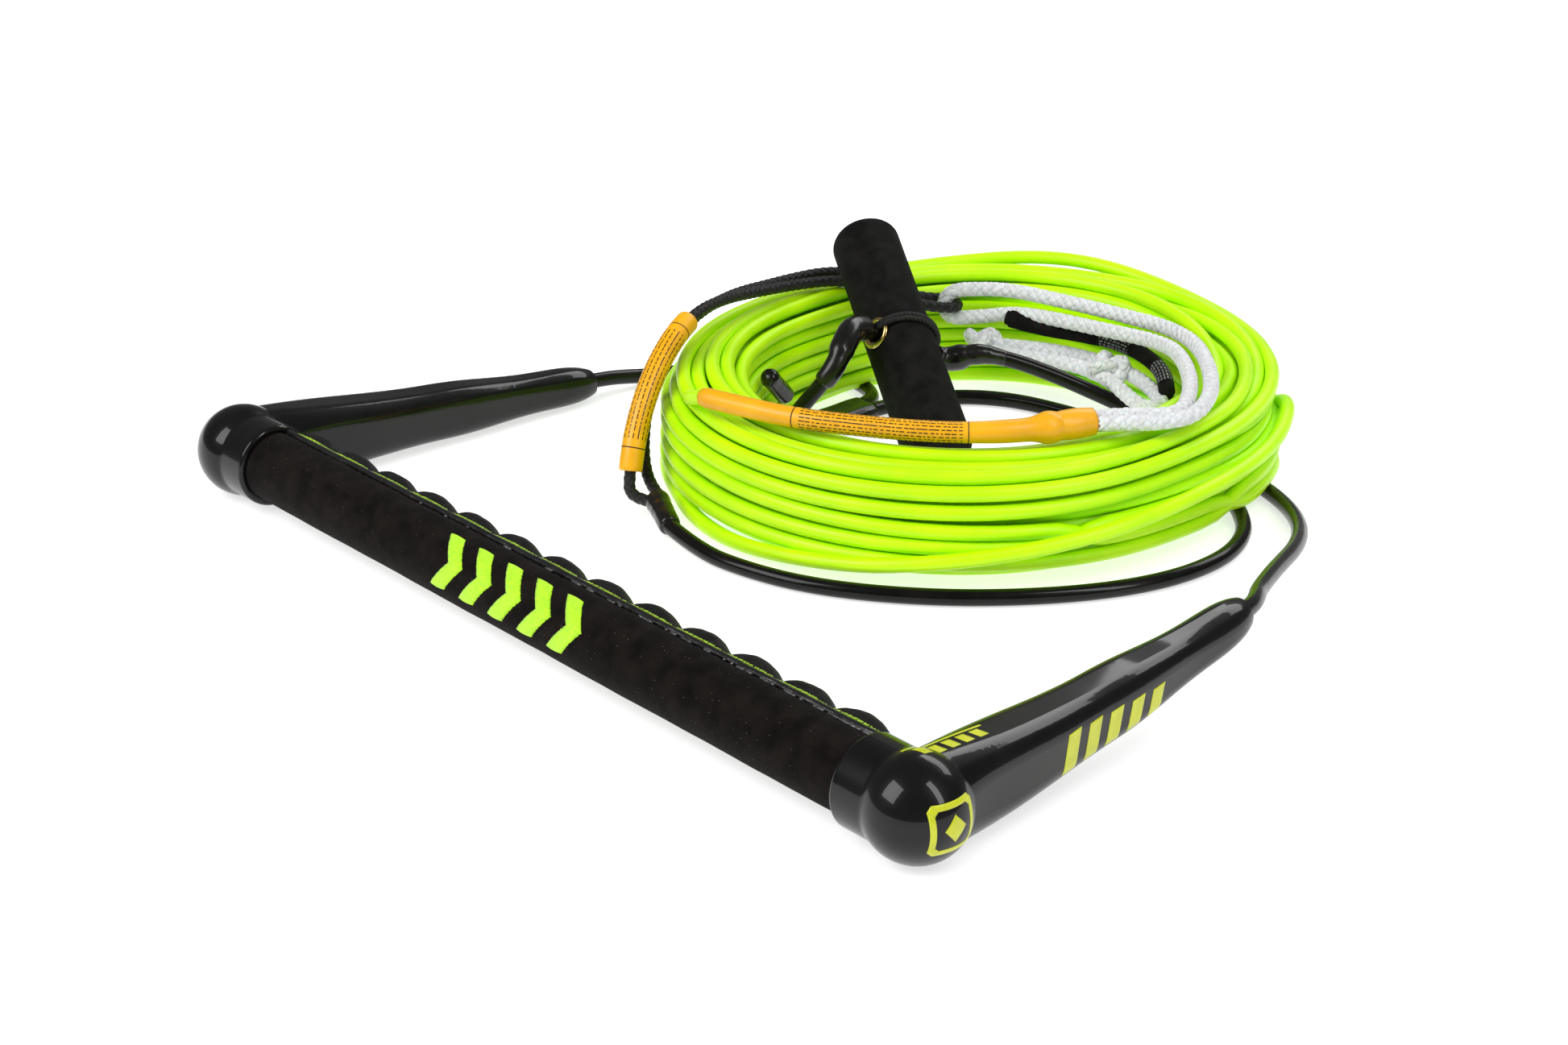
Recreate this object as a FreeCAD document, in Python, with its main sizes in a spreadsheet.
import FreeCAD, Part
import math
import os

from FreeCAD import Placement, Rotation, Vector

# Tow rope handle: a padded straight bar between two moulded rubber arms, the coated rope
# bridle that joins the arms, a foam toggle on the handle line, and the coiled main line
# with its white take-off loops. Millimetres, +Z up, X along the bar, +Y from the bar
# towards the rope. The origin is on the floor under the middle of the bar-and-arms piece.

doc = FreeCAD.newDocument("tow_handle")

# ---------------------------------------------------------------- driving dimensions
SIZES = {
    "bar_half_span": 190.5,      # bar middle to the centre of an end ball
    "bar_offset": 72.5,          # bar axis behind the origin, along Y
    "bar_height": 18.3,          # bar axis above the floor
    "ball_radius": 18.3,
    "bar_outer_radius": 11.1,
    "bar_bore_radius": 9.5,
    "bar_half_length": 196.0,
    "plug_length": 40.0,
    "plug_pin_radius": 2.5,
    "pin_half_length": 13.0,
    "underlay_radius": 12.6,
    "grip_radius": 14.0,
    "grip_half_length": 176.0,
    "collar_radius": 16.4,
    "collar_reach": 23.0,        # collar rim, from the ball's centre towards the bar's middle
    "neck_radius": 6.0,          # soft hollow between the ball and its collar
    "seam_angle": 27.0,          # top seam, from straight up towards the arms
    "back_seam_angle": 150.0,
    "piping_radius": 1.3,
    "piping_half_length": 167.0,
    "rib_count": 13,
    "rib_gap": 0.4,
    "rib_rise": 6.2,
    "stitch_pitch": 4.0,
    "line_diameter": 6.4,        # black coated line of the bridle and the handle section
    "main_diameter": 6.0,        # lime coated main line
    "braid_diameter": 4.6,       # uncoated braid of the end loop
    "white_diameter": 6.0,
    "lashing_diameter": 2.8,
    "toggle_radius": 14.2,
    "toggle_length": 127.0,
    "toggle_bore": 3.6,
    "toggle_liner": 4.6,
    "toggle_cord": 3.2,
    "eyelet_radius": 7.0,
    "eyelet_rim": 0.9,
    "coil_x": -19.0,             # centre of the coil
    "coil_y": 163.0,
    "coil_straight": 20.0,       # length of the two straight sides of the oval coil
    "coil_turn_radius": 97.0,    # middle of the bundle, round each end of the oval
    "loose_sleeve_outer": 4.7,
    "loose_sleeve_inner": 3.3,
}

sheet = doc.addObject("Spreadsheet::Sheet", "sizes")
for row, (alias, value) in enumerate(SIZES.items(), start=1):
    sheet.set(f"A{row}", alias)
    sheet.set(f"B{row}", str(value))
    sheet.setAlias(f"B{row}", alias)
doc.recompute()


def size(alias):
    return float(sheet.get(alias))


def cell(alias):
    return f"<<sizes>>.{alias}"


BAR = Vector(0, -size("bar_offset"), size("bar_height"))
COIL = Vector(size("coil_x"), size("coil_y"), 0)
ALONG_X = Rotation(Vector(0, 0, 1), Vector(1, 0, 0))
subparts = []


def keep(obj, name):
    """Names a finished sub-part and puts it on the list that is exported."""
    obj.Label = name
    subparts.append(obj)
    return obj


# ---------------------------------------------------------------- small builders
def bind(obj, **expressions):
    for prop, expression in expressions.items():
        obj.setExpression(prop, expression)
    return obj


def rod(name, radius, length, placement):
    """A Part::Cylinder bound to the sheet, starting at its placement."""
    obj = doc.addObject("Part::Cylinder", name)
    bind(obj, Radius=radius, Height=length)
    obj.Placement = placement
    return obj


def bar_rod(name, radius, half_length):
    """A rod along the bar and centred on it. Both sizes are named by their alias."""
    start = BAR - Vector(size(half_length), 0, 0)
    return rod(name, cell(radius), f"2 * {cell(half_length)}", Placement(start, ALONG_X))


def cut(name, base, tool):
    obj = doc.addObject("Part::Cut", name)
    obj.Base, obj.Tool = base, tool
    return obj


def fuse(name, shapes):
    obj = doc.addObject("Part::MultiFuse", name)
    obj.Shapes = shapes
    return obj


def feature(name, shape, placement=None):
    obj = doc.addObject("Part::Feature", name)
    obj.Shape = shape
    if placement is not None:
        obj.Placement = placement
    return obj


def origin_plane(body, role):
    return next(f for f in body.Origin.OriginFeatures if f.Role == role)


def sketch_on(body, name, role):
    sketch = body.newObject("Sketcher::SketchObject", name)
    sketch.AttachmentSupport = [(origin_plane(body, role), "")]
    sketch.MapMode = "FlatFace"
    return sketch


# ---------------------------------------------------------------- cords
def corner_edges(points):
    """Straight runs between the points, joined by the largest tangent arcs that fit them."""
    edges, arcs = [], []
    start = points[0]
    for before, corner, after in zip(points, points[1:], points[2:]):
        into, out = corner - before, after - corner
        turn = into.getAngle(out)
        radius = 0.45 * min(into.Length, out.Length) / math.tan(turn / 2)
        setback = radius * math.tan(turn / 2)
        into.normalize()
        out.normalize()
        first, last = corner - into * setback, corner + out * setback
        towards = (out - into).normalize()
        middle = corner + towards * (radius / math.cos(turn / 2) - radius)
        edges.append(Part.LineSegment(start, first).toShape())
        edges.append(Part.Arc(first, middle, last).toShape())
        arcs.append((round(radius, 1), round(math.degrees(turn))))
        start = last
    edges.append(Part.LineSegment(start, points[-1]).toShape())
    return edges, arcs


def swept(edges, radius):
    """A round tube along edges that follow on smoothly from each other."""
    wire = Part.Wire(edges)
    first = edges[0]
    start, direction = first.valueAt(first.FirstParameter), first.tangentAt(first.FirstParameter)
    ring = Part.Wire([Part.Circle(start, direction, radius).toShape()])
    return wire.makePipeShell([ring], True, False)


def cord(name, edges, arcs, diameter):
    """A round cord along its edges, checked against its section times its length."""
    tube = swept(edges, diameter / 2)
    length = sum(edge.Length for edge in edges)
    share = tube.Volume / (math.pi * diameter ** 2 / 4 * length)
    print(f"{name}: length {length:.0f}, volume {share:.3f} of section x length, "
          f"smallest radius {min(a[0] for a in arcs)}, radii and turns {arcs}")
    return keep(feature(name, tube), name)


def cord_through(name, route, diameter):
    edges, arcs = corner_edges([Vector(*point) for point in route])
    return cord(name, edges, arcs, diameter)


def straight_sleeve(name, start, end, radius):
    axis = end - start
    return keep(feature(name, Part.makeCylinder(radius, axis.Length, start, axis)), name)


def sleeve_along(name, edges, inner, outer):
    """A tube of even wall round a line, along part of that line's own edges."""
    return keep(feature(name, swept(edges, outer).cut(swept(edges, inner))), name)


# ---------------------------------------------------------------- bar and grip
def bar():
    outer = bar_rod("bar_skin", "bar_outer_radius", "bar_half_length")
    bore = bar_rod("bar_bore", "bar_bore_radius", "bar_half_length")
    tube = cut("bar_tube_cut", outer, bore)
    holes = fuse("pin_holes", [pin_rod(f"pin_hole_{side}", side) for side in ("left", "right")])
    keep(cut("bar_tube", tube, holes), "bar_tube")
    for side in ("left", "right"):
        sign = -1 if side == "left" else 1
        start = BAR + Vector(sign * size("bar_half_length"), 0, 0)
        plug = rod(f"plug_{side}", cell("bar_bore_radius"), cell("plug_length"),
                   Placement(start, Rotation(Vector(0, 0, 1), Vector(-sign, 0, 0))))
        keep(cut(f"plug_cut_{side}", plug, pin_rod(f"plug_hole_{side}", side)), f"bar_plug_{side}")
        keep(pin_rod(f"pin_{side}", side), f"lock_pin_{side}")


def pin_rod(name, side):
    """The upright pin that locks an arm, the bar and its plug together."""
    sign = -1 if side == "left" else 1
    base = BAR + Vector(sign * size("bar_half_span"), 0, -size("pin_half_length"))
    return rod(name, cell("plug_pin_radius"), f"2 * {cell('pin_half_length')}",
               Placement(base, Rotation()))


def grip_layer(name, inner, outer, first_angle, last_angle):
    """A tube layer of the grip as a padded ring sector. Angles run from up towards the arms."""
    body = doc.addObject("PartDesign::Body", name)
    sketch = sketch_on(body, name + "_section", "YZ_Plane")
    start, end = math.radians(90 - last_angle), math.radians(90 - first_angle)
    r_in, r_out = size(inner), size(outer)
    circle = Part.Circle(Vector(), Vector(0, 0, 1), r_out)
    sketch.addGeometry(Part.ArcOfCircle(circle, start, end))
    circle = Part.Circle(Vector(), Vector(0, 0, 1), r_in)
    sketch.addGeometry(Part.ArcOfCircle(circle, start, end))
    for angle in (start, end):
        ray = Vector(math.cos(angle), math.sin(angle), 0)
        sketch.addGeometry(Part.LineSegment(ray * r_in, ray * r_out))
    pad = body.newObject("PartDesign::Pad", name + "_pad")
    pad.Profile = sketch
    pad.Midplane = True
    bind(pad, Length=f"2 * {cell('grip_half_length')}")
    body.Placement = Placement(BAR, Rotation())
    return keep(body, name)


def grip():
    skin = bar_rod("underlay_skin", "underlay_radius", "grip_half_length")
    bore = bar_rod("underlay_bore", "bar_outer_radius", "grip_half_length")
    keep(cut("underlay", skin, bore), "grip_underlay")
    grip_layer("grip_wrap", "underlay_radius", "grip_radius",
               size("back_seam_angle") + 9, size("seam_angle") + 360 - 9)
    for seam, angle, lean in (("top", size("seam_angle"), -1), ("back", size("back_seam_angle"), 1)):
        radial = Vector(0, math.sin(math.radians(angle)), math.cos(math.radians(angle)))
        centre = BAR + radial * (size("underlay_radius") + size("piping_radius"))
        start = centre - Vector(size("piping_half_length"), 0, 0)
        keep(rod(f"piping_{seam}", cell("piping_radius"), f"2 * {cell('piping_half_length')}",
                 Placement(start, ALONG_X)), f"piping_{seam}")
        stitches(seam, angle - 9.5 * lean)
    ribs()


def stitches(seam, angle):
    """Overlock stitches: a row of short bars across the edge of the padded ribs."""
    pitch = size("stitch_pitch")
    count = int(2 * (size("grip_half_length") - size("collar_reach") + 6) / pitch)
    across = Vector(0, math.cos(math.radians(angle)), -math.sin(math.radians(angle)))
    radial = Vector(0, math.sin(math.radians(angle)), math.cos(math.radians(angle)))
    loops = []
    for i in range(count):
        middle = BAR + radial * 13.15 + Vector((i - (count - 1) / 2) * pitch, 0, 0)
        loops.append(Part.makeCylinder(0.45, 1.7, middle - across * 0.85, across))
    keep(feature(f"stitches_{seam}", Part.Compound(loops)), f"stitches_{seam}")


def ribs():
    """The padded palm side of the grip: short barrel-shaped ribs between the two seams."""
    count = int(size("rib_count"))
    free = size("bar_half_span") - size("collar_reach") - 1
    pitch = 2 * free / count
    half = pitch / 2 - size("rib_gap") / 2
    first, last = size("seam_angle") + 14, size("back_seam_angle") - 14
    r_in, r_edge, rise = size("underlay_radius"), size("underlay_radius") + 0.6, size("rib_rise")
    profile = Part.Wire([
        Part.LineSegment(Vector(-half, 0, r_in), Vector(half, 0, r_in)).toShape(),
        Part.LineSegment(Vector(half, 0, r_in), Vector(half, 0, r_edge)).toShape(),
        Part.Arc(Vector(half, 0, r_edge), Vector(0, 0, r_edge + rise), Vector(-half, 0, r_edge)).toShape(),
        Part.LineSegment(Vector(-half, 0, r_edge), Vector(-half, 0, r_in)).toShape(),
    ])
    rib = Part.Face(profile).revolve(Vector(), Vector(-1, 0, 0), last - first)
    rib.rotate(Vector(), Vector(-1, 0, 0), first)
    row = []
    for i in range(count):
        one = rib.copy()
        one.translate(BAR + Vector((i - (count - 1) / 2) * pitch, 0, 0))
        row.append(one)
    keep(feature("grip_ribs", Part.Compound(row)), "grip_ribs")


# ---------------------------------------------------------------- arms
# Stations along each arm: distance from the bar axis, half width, half height, corner radius.
ARM_STATIONS = [
    (3.0, 14.6, 16.2, 13.5),
    (14.0, 13.4, 15.6, 11.0),
    (30.0, 12.5, 14.4, 8.5),
    (50.0, 11.8, 12.8, 7.5),
    (82.0, 10.3, 10.9, 6.5),
    (114.0, 9.0, 9.3, 6.0),
    (142.0, 8.0, 8.0, 6.2),
    (157.0, 7.4, 7.3, 6.6),
    (163.3, 5.6, 5.6, 5.1),
]
ARMS = {
    "left": {"sign": -1, "tip": Vector(-177.0, 90.8, 8.0), "bend": 1.0},
    "right": {"sign": 1, "tip": Vector(182.0, 90.8, 28.0), "bend": 2.4},
}


def arm_point(side, distance):
    """A point on the middle line of an arm. The right arm curves up towards its rope."""
    arm = ARMS[side]
    root = BAR + Vector(arm["sign"] * size("bar_half_span"), 0, 0)
    share = distance / (arm["tip"].y - root.y)
    rise = (arm["tip"].z - root.z) * share ** arm["bend"]
    return Vector(root.x + (arm["tip"].x - root.x) * share, root.y + distance, root.z + rise)


def rounded_rectangle(sketch, half_x, half_y, corner):
    """Four sides and four corner arcs, added to the sketch in order."""
    x, y = half_x - corner, half_y - corner
    centres = [(x, y), (-x, y), (-x, -y), (x, -y)]
    for i, (cx, cy) in enumerate(centres):
        start = math.pi / 2 * i
        circle = Part.Circle(Vector(cx, cy, 0), Vector(0, 0, 1), corner)
        sketch.addGeometry(Part.ArcOfCircle(circle, start, start + math.pi / 2))
    sides = [((x, half_y), (-x, half_y)), ((-half_x, y), (-half_x, -y)),
             ((-x, -half_y), (x, -half_y)), ((half_x, -y), (half_x, y))]
    for a, b in sides:
        sketch.addGeometry(Part.LineSegment(Vector(*a, 0), Vector(*b, 0)))


def arm_core_route(side):
    """The rope inside an arm, from its ferrule beside the ball to the tip."""
    stops = (30.0, 163.3) if ARMS[side]["bend"] == 1.0 else (30.0, 62.0, 94.0, 124.0, 148.0, 163.3)
    return [arm_point(side, d) for d in stops]


def end_ball(side):
    """The ball with its collar, turned round the bar's axis, with a soft neck between them."""
    ball, collar, neck, rim = size("ball_radius"), size("collar_radius"), size("neck_radius"), 1.5
    reach = size("collar_reach")
    middle = Vector(math.sqrt((ball + neck) ** 2 - (collar + neck) ** 2), collar + neck, 0)
    on_ball = middle * (ball / (ball + neck))
    on_collar = Vector(middle.x, collar, 0)
    bottom = middle + ((on_ball - middle).normalize() + Vector(0, -1, 0)).normalize() * neck
    corner = Vector(reach - rim, collar - rim, 0)
    profile = [
        Part.Arc(Vector(-ball, 0, 0), Vector(-ball * 0.6, ball * 0.8, 0), on_ball),
        Part.Arc(on_ball, bottom, on_collar),
        Part.LineSegment(on_collar, Vector(reach - rim, collar, 0)),
        Part.Arc(Vector(reach - rim, collar, 0), corner + Vector(1, 1, 0).normalize() * rim,
                 Vector(reach, collar - rim, 0)),
        Part.LineSegment(Vector(reach, collar - rim, 0), Vector(reach, 0, 0)),
        Part.LineSegment(Vector(reach, 0, 0), Vector(-ball, 0, 0)),
    ]
    body = doc.addObject("PartDesign::Body", f"end_ball_{side}")
    sketch = sketch_on(body, f"end_ball_{side}_profile", "XZ_Plane")
    for piece in profile:
        sketch.addGeometry(piece)
    turned = body.newObject("PartDesign::Revolution", f"end_ball_{side}_turned")
    turned.Profile = sketch
    turned.ReferenceAxis = (sketch, ["H_Axis"])
    turned.Angle = 360
    return body


def arm(side):
    sign = ARMS[side]["sign"]
    body = doc.addObject("PartDesign::Body", f"arm_{side}_moulding")
    sections = []
    for i, (distance, half_x, half_z, corner) in enumerate(ARM_STATIONS):
        sketch = sketch_on(body, f"arm_{side}_section_{i}", "XZ_Plane")
        centre = arm_point(side, distance)
        sketch.AttachmentOffset = Placement(Vector(centre.x, centre.z, -centre.y), Rotation())
        rounded_rectangle(sketch, half_x, half_z, corner)
        sections.append(sketch)
    loft = body.newObject("PartDesign::AdditiveLoft", f"arm_{side}_loft")
    loft.Profile = sections[0]
    loft.Sections = sections[1:]
    doc.recompute()
    centre = BAR + Vector(sign * size("bar_half_span"), 0, 0)
    inward = Rotation(Vector(0, 0, 1), Vector(-sign, 0, 0))
    ball = end_ball(side)
    ball.Placement = Placement(centre, Rotation(Vector(0, 0, 1), 90 + 90 * sign))
    whole = fuse(f"arm_{side}_whole", [body, ball])
    mouth = rod(f"grip_seat_{side}", cell("grip_radius"), cell("collar_reach"),
                Placement(BAR + Vector(sign * size("grip_half_length"), 0, 0), inward))
    bore = rod(f"bar_seat_{side}", cell("bar_outer_radius"), "60",
               Placement(BAR + Vector(sign * size("bar_half_length"), 0, 0), inward))
    route = arm_core_route(side)
    core = swept(corner_edges(route)[0], size("line_diameter") / 2)
    keep(feature(f"leg_core_{side}", core), f"leg_core_{side}")
    beyond = route[-1] + (route[-1] - route[-2]).normalize() * 5
    rope_hole = swept(corner_edges(route[:-1] + [beyond])[0], size("line_diameter") / 2)
    ferrule = Part.makeCylinder(5.0, 9.0, route[0], route[0] - route[1])
    ferrule_feature = keep(feature(f"leg_ferrule_{side}", ferrule), f"leg_ferrule_{side}")
    hollow = fuse(f"arm_{side}_hollow", [mouth, bore, pin_rod(f"arm_pin_hole_{side}", side),
                                         feature(f"rope_hole_{side}", rope_hole), ferrule_feature])
    keep(cut(f"arm_{side}_cut", whole, hollow), f"arm_{side}")


# ---------------------------------------------------------------- coil of main line
COIL_SECTION = [
    # across the bundle from its middle, height, corner radius
    (-22.0, 0.0, 5.0),
    (22.0, 0.0, 7.0),
    (20.5, 49.0, 11.0),
    (-13.0, 49.0, 9.0),
]


def rounded_outline(corners):
    """Sides and tangent corner arcs of a closed outline, as sketch geometry."""
    pieces, joints = [], []
    count = len(corners)
    for i in range(count):
        before, here, after = (Vector(*corners[(i + k) % count][:2], 0) for k in (-1, 0, 1))
        radius = corners[i][2]
        into, out = (here - before).normalize(), (after - here).normalize()
        turn = into.getAngle(out)
        setback = radius * math.tan(turn / 2)
        first, last = here - into * setback, here + out * setback
        middle = here + (out - into).normalize() * (radius / math.cos(turn / 2) - radius)
        pieces.append(Part.Arc(first, middle, last))
        joints.append((first, last))
    for i in range(count):
        pieces.append(Part.LineSegment(joints[i - 1][1], joints[i][0]))
    return pieces


def coil():
    """The wound bundle as one oval ring: two half rings joined by two short straight sides."""
    half = size("coil_straight") / 2
    turn_radius = size("coil_turn_radius")
    rings = []
    for name, start_angle, shift in (("back", 0, half), ("front", 180, -half)):
        body = doc.addObject("PartDesign::Body", f"coil_{name}")
        sketch = sketch_on(body, f"coil_{name}_section", "XZ_Plane")
        for piece in rounded_outline(COIL_SECTION):
            piece.translate(Vector(turn_radius, 0, 0))
            sketch.addGeometry(piece)
        ring = body.newObject("PartDesign::Revolution", f"coil_{name}_turn")
        ring.Profile = sketch
        ring.ReferenceAxis = (sketch, ["V_Axis"])
        ring.Angle = 180
        doc.recompute()
        if ring.Shape.BoundBox.YMax < 1:
            ring.Reversed = True
        body.Placement = Placement(COIL + Vector(0, shift, 0), Rotation(Vector(0, 0, 1), start_angle))
        rings.append(body)
    for name, angle in (("right", 0), ("left", 180)):
        body = doc.addObject("PartDesign::Body", f"coil_{name}")
        sketch = sketch_on(body, f"coil_{name}_section", "XZ_Plane")
        for piece in rounded_outline(COIL_SECTION):
            piece.translate(Vector(turn_radius, 0, 0))
            sketch.addGeometry(piece)
        side = body.newObject("PartDesign::Pad", f"coil_{name}_side")
        side.Profile = sketch
        side.Midplane = True
        bind(side, Length=cell("coil_straight"))
        body.Placement = Placement(COIL, Rotation(Vector(0, 0, 1), angle))
        rings.append(body)
    under = fuse("coil_grooves", [groove(route) for route in (LEG_LEFT, LEG_RIGHT, HANDLE_LINE)])
    keep(cut("coil_cut", fuse("coil_whole", rings), under), "mainline_coil")


def groove(route):
    """The space a line takes up where it runs under the coil."""
    edges, _ = corner_edges([Vector(*point) for point in route])
    return feature("groove", swept(edges, size("line_diameter") / 2 + 0.3))


# ---------------------------------------------------------------- toggle (T-grip)
TOGGLE_MIDDLE = Vector(-51.2, 154.1, 45.0)
TOGGLE_AXIS = Vector(-0.803, 0.425, 0.409).normalize()     # from its low end to its high end
TOGGLE_HOLE = Vector(0.195, 0.847, -0.490)                 # along its cord, away from the bar
TOGGLE_HOLE = (TOGGLE_HOLE - TOGGLE_AXIS * TOGGLE_HOLE.dot(TOGGLE_AXIS)).normalize()


def toggle():
    radius, length = size("toggle_radius"), size("toggle_length")
    lean = Rotation(Vector(0, 0, 1), TOGGLE_AXIS)
    foam = rod("toggle_rod", cell("toggle_radius"), cell("toggle_length"),
               Placement(TOGGLE_MIDDLE - TOGGLE_AXIS * (length / 2), lean))
    doc.recompute()
    ends = [i + 1 for i, e in enumerate(foam.Shape.Edges) if abs(e.Length - 2 * math.pi * radius) < 0.1]
    rounded = doc.addObject("Part::Fillet", "toggle_rounded")
    rounded.Base = foam
    rounded.Edges = [(i, 5.0, 5.0) for i in ends]
    across = Rotation(Vector(0, 0, 1), TOGGLE_HOLE)
    bore = rod("toggle_bore_tool", cell("toggle_liner"), f"2 * {cell('toggle_radius')} + 8",
               Placement(TOGGLE_MIDDLE - TOGGLE_HOLE * (radius + 4), across))
    seats = fuse("toggle_hollow", [bore, *eyelet_rods("toggle_seat")])
    keep(cut("toggle_cut", rounded, seats), "toggle_foam")
    skin = rod("liner_skin", cell("toggle_liner"), f"2 * {cell('toggle_radius')} - 2",
               Placement(TOGGLE_MIDDLE - TOGGLE_HOLE * (radius - 1), across))
    inner = rod("liner_bore", cell("toggle_bore"), f"2 * {cell('toggle_radius')} - 2",
                Placement(TOGGLE_MIDDLE - TOGGLE_HOLE * (radius - 1), across))
    keep(cut("liner_cut", skin, inner), "toggle_liner")
    rims = fuse("eyelet_rims", eyelet_rods("eyelet"))
    hole = rod("eyelet_hole", cell("toggle_liner"), f"2 * {cell('toggle_radius')} + 8",
               Placement(TOGGLE_MIDDLE - TOGGLE_HOLE * (radius + 4), across))
    keep(cut("eyelets_cut", rims, hole), "toggle_eyelets")
    lashing_radius = radius + size("lashing_diameter") / 2 + 0.2
    upper = TOGGLE_HOLE.cross(TOGGLE_AXIS)
    spots = [TOGGLE_MIDDLE + (upper * math.sin(a) - TOGGLE_HOLE * math.cos(a)) * lashing_radius
             for a in (math.radians(22), math.radians(90), math.radians(158))]
    bow = Part.Arc(*spots).toShape()
    keep(feature("toggle_lashing", swept([bow], size("lashing_diameter") / 2)), "toggle_lashing")


def eyelet_rods(name):
    """The two discs at the mouths of the toggle's hole."""
    rods = []
    for i, sign in enumerate((-1, 1)):
        base = TOGGLE_MIDDLE + TOGGLE_HOLE * (sign * (size("toggle_radius") - 1.0))
        rods.append(rod(f"{name}_{i}", cell("eyelet_radius"), "1.6",
                        Placement(base, Rotation(Vector(0, 0, 1), TOGGLE_HOLE * sign))))
    return rods


# ---------------------------------------------------------------- handle line
LEAD_LEFT = [(-176.95, 91.6, 7.95), (-176.3, 100, 7.4), (-175.2, 109.5, 6), (-173.5, 119, 4.3)]
LEAD_RIGHT = [(181.5, 92.5, 27.8), (179.5, 99.5, 27), (174.5, 108.5, 25.3), (168.5, 117, 23.4)]
LEG_LEFT = [(-173.5, 119, 4.3), (-170, 133, 3.3), (-164.5, 148, 3.2), (-156, 162, 3.2),
            (-144, 174, 3.2), (-129, 182, 3.2), (-113, 185, 3.2), (-98, 182, 3.2),
            (-87.5, 174, 3.6), (-85.5, 164, 4.5)]
LEG_RIGHT = [(168.5, 117, 23.4), (159, 135, 20), (150, 153, 16.5), (142, 170, 13.2),
             (132, 187, 10), (119, 203, 6.8), (102, 217, 4.3), (81, 227, 3.2), (56, 232, 3.2),
             (29, 231.5, 3.2), (2, 229.5, 3.2), (-25, 226, 3.2), (-48, 220, 3.2), (-65, 208, 3.2),
             (-75, 192, 3.2), (-78.5, 177, 3.6), (-78.5, 164, 4.5)]
SPLICE = [Vector(-82, 164, 4.5), Vector(-82, 135, 4.5)]
TOGGLE_LINE = [(-82, 135, 4.5), (-80.5, 120, 4.4), (-75, 108, 6.5), (-66.5, 103, 14),
               (-60.5, 105, 24.5), (-53.5, 108.5, 35), (-47, 113.5, 45.5), (-50.5, 122, 54)]
HANDLE_LINE = [(-36, 183.5, 38), (-25, 195.5, 34), (-15, 206, 28.5), (-3, 215.5, 22.5),
               (11, 222.5, 17.5), (24, 225.5, 14.5), (38, 223, 11.5), (56, 216, 8),
               (75, 210.5, 4.6), (92, 201, 3.2), (107, 186, 3.2), (116, 163, 3.2),
               (114.5, 133, 3.2), (102, 102, 3.2), (79, 70, 3.2), (53, 46, 3.2), (27, 30, 3.2),
               (2, 22.5, 3.2), (-21, 20, 3.4), (-43, 24, 5)]
LINE_SHRINK = [Vector(-43, 24, 5), Vector(-62, 33, 7.5)]


def toggle_side(distance):
    """A point on the axis of the toggle's hole, counted from the toggle's middle."""
    return TOGGLE_MIDDLE + TOGGLE_HOLE * distance


def handle_line():
    line = size("line_diameter")
    cord_through("leg_lead_left", LEAD_LEFT, line)
    cord_through("leg_lead_right", LEAD_RIGHT, line)
    cord_through("bridle_leg_left", LEG_LEFT, line)
    cord_through("bridle_leg_right", LEG_RIGHT, line)
    flat_sleeve("bridle_splice", SPLICE, 8.6)
    mouth, bend = size("toggle_radius") + 2.0, size("toggle_radius") + 10.3
    near = [Vector(*p) for p in TOGGLE_LINE] + [toggle_side(-bend), toggle_side(-mouth)]
    edges, arcs = corner_edges(near)
    cord("toggle_line", edges, arcs, line)
    sleeve_along("toggle_shrink_near", edges[-6:-2], line / 2, line / 2 + 1.2)
    far = [toggle_side(mouth), toggle_side(bend)] + [Vector(*p) for p in HANDLE_LINE]
    edges, arcs = corner_edges(far)
    cord("handle_line", edges, arcs, line)
    sleeve_along("toggle_shrink_far", edges[2:5], line / 2, line / 2 + 1.2)
    through = Part.makeCylinder(size("toggle_cord"), 2 * mouth, toggle_side(-mouth), TOGGLE_HOLE)
    keep(feature("toggle_through_cord", through), "toggle_through_cord")
    straight_sleeve("handle_line_shrink", *LINE_SHRINK, line / 2 + 1.55)


def flat_sleeve(name, ends, half_width):
    """Flat shrink sleeve where two lines lie side by side and become one."""
    body = doc.addObject("PartDesign::Body", name)
    sketch = sketch_on(body, name + "_section", "XZ_Plane")
    half_height = size("line_diameter") / 2 + 1.2
    rounded_rectangle(sketch, half_width, half_height, half_height - 0.2)
    pad = body.newObject("PartDesign::Pad", name + "_pad")
    pad.Profile = sketch
    pad.Length = (ends[1] - ends[0]).Length
    axis = (ends[1] - ends[0]).normalize()
    body.Placement = Placement(ends[0], Rotation(Vector(0, -1, 0), axis))
    return keep(body, name)


# ---------------------------------------------------------------- end loop and loose sleeve
SLEEVE_ARC = [Vector(-75.6, 31.1, 15.9), Vector(-83.1, 45.1, 39.9), Vector(-97.1, 79.6, 60.5)]
LOOP_START = Vector(-63, 30.7, 7.1)
LOOP_OUT = [(-107, 109, 60.5), (-111.5, 125, 57.5), (-114, 142, 55), (-114.8, 158, 53),
            (-112, 172, 51.8), (-104, 183, 50.5), (-93.5, 190, 46), (-83, 197.5, 42),
            (-73.5, 210.8, 40), (-83.3, 217.8, 40), (-93, 204.5, 41.5), (-103, 195, 46.5),
            (-113, 187, 51.5), (-119.5, 175, 53), (-121.5, 159, 53.5), (-120.5, 142, 54.5),
            (-117.5, 125, 56.5), (-112.5, 108, 57.5), (-109, 96.5, 57), (-105, 85, 55.1),
            (-99.3, 73, 51.8), (-94.5, 61, 45.4), (-90, 52.5, 34.5), (-85.5, 46, 23.5),
            (-79.5, 41.5, 13), (-70.5, 38.2, 7.6), (-61, 35.3, 7.1)]


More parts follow.
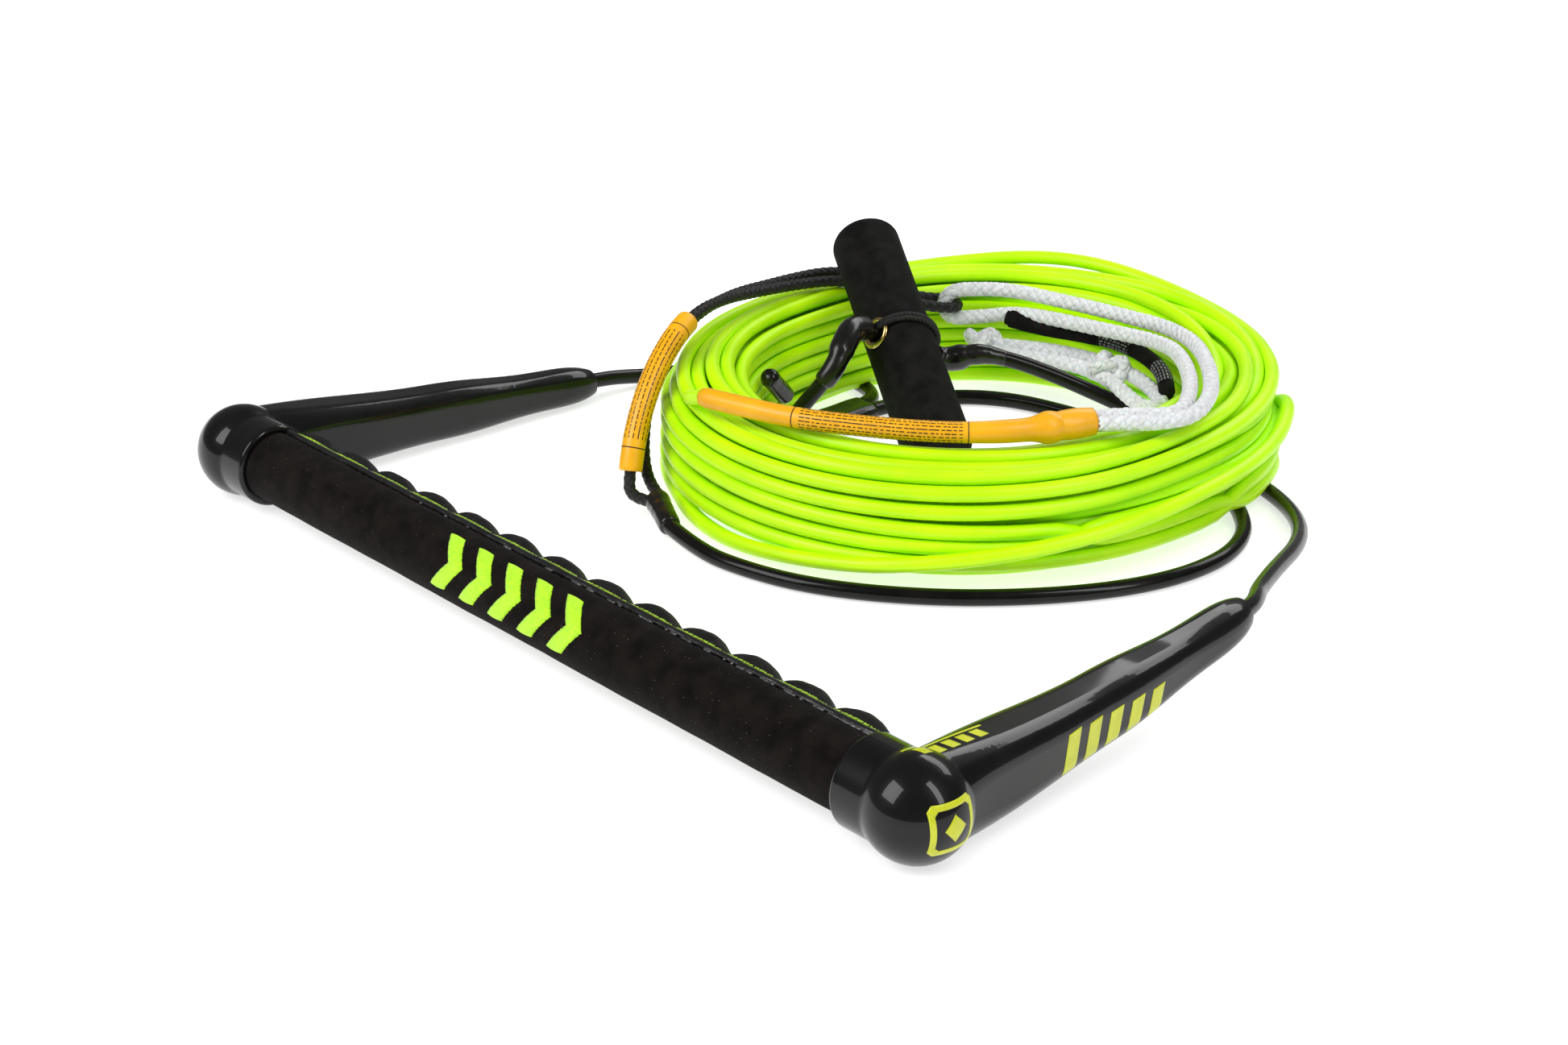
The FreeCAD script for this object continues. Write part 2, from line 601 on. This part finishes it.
def arc_between(centre, normal, start, degrees):
    """An arc edge from a point on the circle, turning by an angle about its normal."""
    spots = [centre + Rotation(normal, degrees * k).multVec(start - centre) for k in (0, 0.5, 1)]
    return Part.Arc(*spots).toShape()


def end_loop():
    circle = Part.Arc(*SLEEVE_ARC).toShape().Curve
    centre, normal = circle.Center, circle.Axis
    swing = math.degrees((SLEEVE_ARC[0] - centre).getAngle(SLEEVE_ARC[2] - centre))
    ride = arc_between(centre, normal, SLEEVE_ARC[0], swing + 5)
    skin = arc_between(centre, normal, SLEEVE_ARC[0], swing)
    down, up = ride.tangentAt(ride.FirstParameter), ride.tangentAt(ride.LastParameter)
    top = ride.valueAt(ride.LastParameter)
    foot, foot_arcs = corner_edges([LOOP_START, SLEEVE_ARC[0] - down * 10, SLEEVE_ARC[0]])
    rest, rest_arcs = corner_edges([top, top + up * 10] + [Vector(*p) for p in LOOP_OUT])
    cord("end_loop", foot + [ride] + rest, foot_arcs + rest_arcs, size("braid_diameter"))
    sleeve_along("warning_sleeve_loose", [skin], size("loose_sleeve_inner"),
                 size("loose_sleeve_outer"))
    print(f"loose sleeve: centre {centre}, axis {normal}, radius {circle.Radius:.2f}, arc {swing:.1f}")


# ---------------------------------------------------------------- white loops
LINK_LOOP = [(76.8, 132.7, 54.4), (83.5, 142, 54.4), (92.5, 150, 55), (98, 162.5, 56),
             (88.5, 183, 56), (68, 206.5, 54.5), (41.5, 229.5, 52), (17, 240, 49.5),
             (-3, 241.5, 47.5), (-24, 240.5, 46.5), (-44, 237, 46), (-60, 232, 46.5),
             (-71, 224.5, 46.5), (-81.6, 209.7, 46.5), (-81.6, 209.7, 33.5), (-71, 224.5, 34),
             (-60, 230, 37), (-44, 232.5, 39), (-24, 234, 40.5), (-3, 234.5, 42.5),
             (15, 233, 45), (36.5, 223.5, 49), (62, 201, 53), (81.5, 179, 55.2),
             (91, 162.5, 55), (86, 154, 54.6), (77, 146, 54.4), (71.2, 135.3, 54.4)]
FIXED_SLEEVE = [(-44, 42, 53.6), (-24, 45.5, 54.4), (-2, 52.5, 54.6), (18, 64.5, 54.6),
                (37, 77.5, 54.6), (53, 92.5, 54.6), (64, 109, 54.6), (69, 122, 54.4)]
LOOP_SPLICE = [Vector(69, 122, 54.4), Vector(74, 134, 54.4)]
SECTION_SLEEVE = [(-47, 232, 34), (-28, 240.5, 34), (-9, 244.5, 33.5), (9, 241, 32.5),
                  (24, 233, 31)]
TAKEOFF_LOOP = [(-62, 222, 24), (-47, 231, 24.5), (-30, 236.5, 25), (-12, 238, 25.5),
                (6, 235.5, 25.5), (22, 229, 25), (34, 221, 24.5), (29, 213.5, 24.5),
                (16, 218.5, 24.5), (1, 225, 25), (-14, 228, 25), (-30, 226.5, 24.5),
                (-45, 221.5, 24), (-58, 214, 24)]
KNOTS = {"a": (Vector(-66, 217, 25), 9.0), "b": (Vector(-6, 231.5, 27), 9.5)}
END_SLEEVE = [Vector(-78.5, 105.5, 36), Vector(-82.5, 120, 21)]


def white_loops():
    cord_through("link_loop", LINK_LOOP, size("white_diameter"))
    flat_sleeve("link_loop_splice", LOOP_SPLICE, 6.6)
    edges, _ = corner_edges([Vector(*p) for p in FIXED_SLEEVE])
    keep(feature("link_loop_tail", swept(edges, size("white_diameter") / 2)), "link_loop_tail")
    sleeve_along("warning_sleeve_fixed", edges, size("white_diameter") / 2, 4.1)
    cord_through("section_sleeve", SECTION_SLEEVE, 7.5)
    cord_through("takeoff_loop", TAKEOFF_LOOP, size("white_diameter"))
    for name, (centre, radius) in KNOTS.items():
        knot = doc.addObject("Part::Sphere", f"knot_{name}")
        knot.Radius = radius
        knot.Placement.Base = centre
        keep(knot, f"takeoff_knot_{name}")
    straight_sleeve("rope_end_sleeve", *END_SLEEVE, 4.0)


def all_parts():
    bar()
    grip()
    for side in ("left", "right"):
        arm(side)
    toggle()
    handle_line()
    end_loop()
    white_loops()
    coil()


all_parts()
doc.recompute()

failed = [o.Label for o in doc.Objects if "Invalid" in o.State or "Error" in o.State]
if failed:
    raise SystemExit(f"objects that failed to build: {failed}")
os.makedirs("parts", exist_ok=True)
for part in subparts:
    shape = part.Shape
    if shape.isNull() or not shape.isValid():
        raise SystemExit(f"{part.Label} has no valid shape")
    shape.exportStep(f"parts/{part.Label}.step")
print(len(subparts), "sub-parts")
